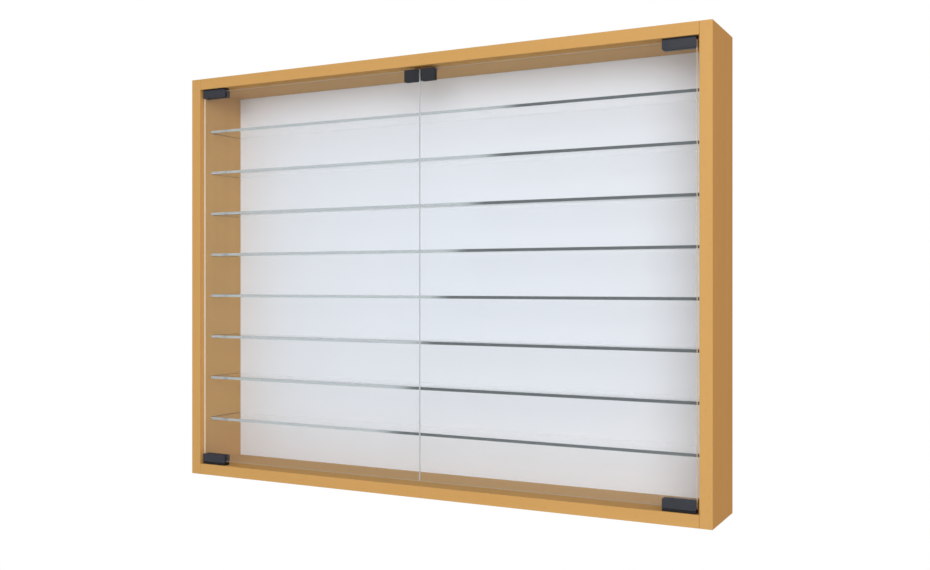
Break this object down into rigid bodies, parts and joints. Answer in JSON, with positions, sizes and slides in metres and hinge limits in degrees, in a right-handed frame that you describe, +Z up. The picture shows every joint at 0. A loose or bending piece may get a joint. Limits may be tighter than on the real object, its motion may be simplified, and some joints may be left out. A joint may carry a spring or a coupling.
{
  "type": "wall mounted showcase",
  "caption": "Shallow wall showcase: wooden cabinet with a white back, fixed glass shelves and frameless glass doors that pivot in black corner clamps and shut on a magnetic latch.",
  "frame": {"origin": "middle of the cabinet's underside, half way between the front edge plane and the wall plane", "axes": "+X to the right seen from the front, +Y towards the wall, +Z up"},
  "size_m": [0.8, 0.1, 0.6],
  "materials": {
    "beech_laminate": "smooth satin beech-coloured melamine on 16 mm board, with matching edge band",
    "white_back": "white lacquered hardboard, satin",
    "shelf_glass": "clear float glass, ground edges",
    "door_glass": "clear float glass, ground edges",
    "black_plastic": "black moulded plastic, fine matte grain",
    "black_steel": "black coated sheet steel",
    "brown_plastic": "beech-brown moulded plastic",
    "steel": "bright zinc-plated steel",
    "zinc": "die-cast zinc, dull",
    "dowel_wood": "plain beech, fluted",
    "magnet": "dark sintered ferrite"
  },
  "bodies": {
    "cabinet": {"side_panel_left": "beech_laminate", "side_panel_right": "beech_laminate", "top_panel": "beech_laminate", "bottom_panel": "beech_laminate", "back_panel": "white_back", "glass_shelf_1": "shelf_glass", "glass_shelf_2": "shelf_glass", "glass_shelf_3": "shelf_glass", "glass_shelf_4": "shelf_glass", "glass_shelf_5": "shelf_glass", "glass_shelf_6": "shelf_glass", "glass_shelf_7": "shelf_glass", "glass_shelf_8": "shelf_glass", "hinge_bearing_top_left": "black_plastic", "hinge_bearing_bottom_left": "black_plastic", "hinge_bearing_top_right": "black_plastic", "hinge_bearing_bottom_right": "black_plastic", "latch_housing": "brown_plastic", "latch_spring_left": "steel", "latch_spring_right": "steel", "latch_screw_left": "steel", "latch_screw_right": "steel", "cam_lock_top_left": "zinc", "cam_lock_bottom_left": "zinc", "cam_lock_top_right": "zinc", "cam_lock_bottom_right": "zinc", "cam_bolt_top_left": "steel", "cam_bolt_bottom_left": "steel", "cam_bolt_top_right": "steel", "cam_bolt_bottom_right": "steel", "dowel_top_left": "dowel_wood", "dowel_bottom_left": "dowel_wood", "dowel_top_right": "dowel_wood", "dowel_bottom_right": "dowel_wood", "hanger_plate_left": "steel", "hanger_plate_right": "steel", "hanger_screw_top_left": "steel", "hanger_screw_bottom_left": "steel", "hanger_screw_top_right": "steel", "hanger_screw_bottom_right": "steel"},
    "door_left": {"door_glass_left": "door_glass", "strike_clip_left": "black_steel", "hinge_clamp_top_left": "black_plastic", "hinge_clamp_bottom_left": "black_plastic", "hinge_pin_top_left": "steel", "hinge_pin_bottom_left": "steel", "clamp_screw_top_left": "steel", "clamp_screw_bottom_left": "steel"},
    "door_right": {"door_glass_right": "door_glass", "strike_clip_right": "black_steel", "hinge_clamp_top_right": "black_plastic", "hinge_clamp_bottom_right": "black_plastic", "hinge_pin_top_right": "steel", "hinge_pin_bottom_right": "steel", "clamp_screw_top_right": "steel", "clamp_screw_bottom_right": "steel"},
    "plunger_left": {"latch_plunger_left": "black_plastic", "latch_magnet_left": "magnet"},
    "plunger_right": {"latch_plunger_right": "black_plastic", "latch_magnet_right": "magnet"}
  },
  "joints": [
    {"name": "door_left_hinge", "type": "hinge", "parent": "cabinet", "child": "door_left", "pos_m": [-0.371, -0.0435, 0.3], "axis": [0, 0, -1], "range_deg": [0, 120]},
    {"name": "door_right_hinge", "type": "hinge", "parent": "cabinet", "child": "door_right", "pos_m": [0.371, -0.0435, 0.3], "axis": [0, 0, 1], "range_deg": [0, 120]},
    {"name": "latch_left_press", "type": "slide", "parent": "cabinet", "child": "plunger_left", "axis": [0, 1, 0], "range_m": [0, 0.002], "stiffness_N_per_m": 400, "springref_m": -0.003, "deforming": ["latch_spring_left"]},
    {"name": "latch_right_press", "type": "slide", "parent": "cabinet", "child": "plunger_right", "axis": [0, 1, 0], "range_m": [0, 0.002], "stiffness_N_per_m": 400, "springref_m": -0.003, "deforming": ["latch_spring_right"]}
  ]
}
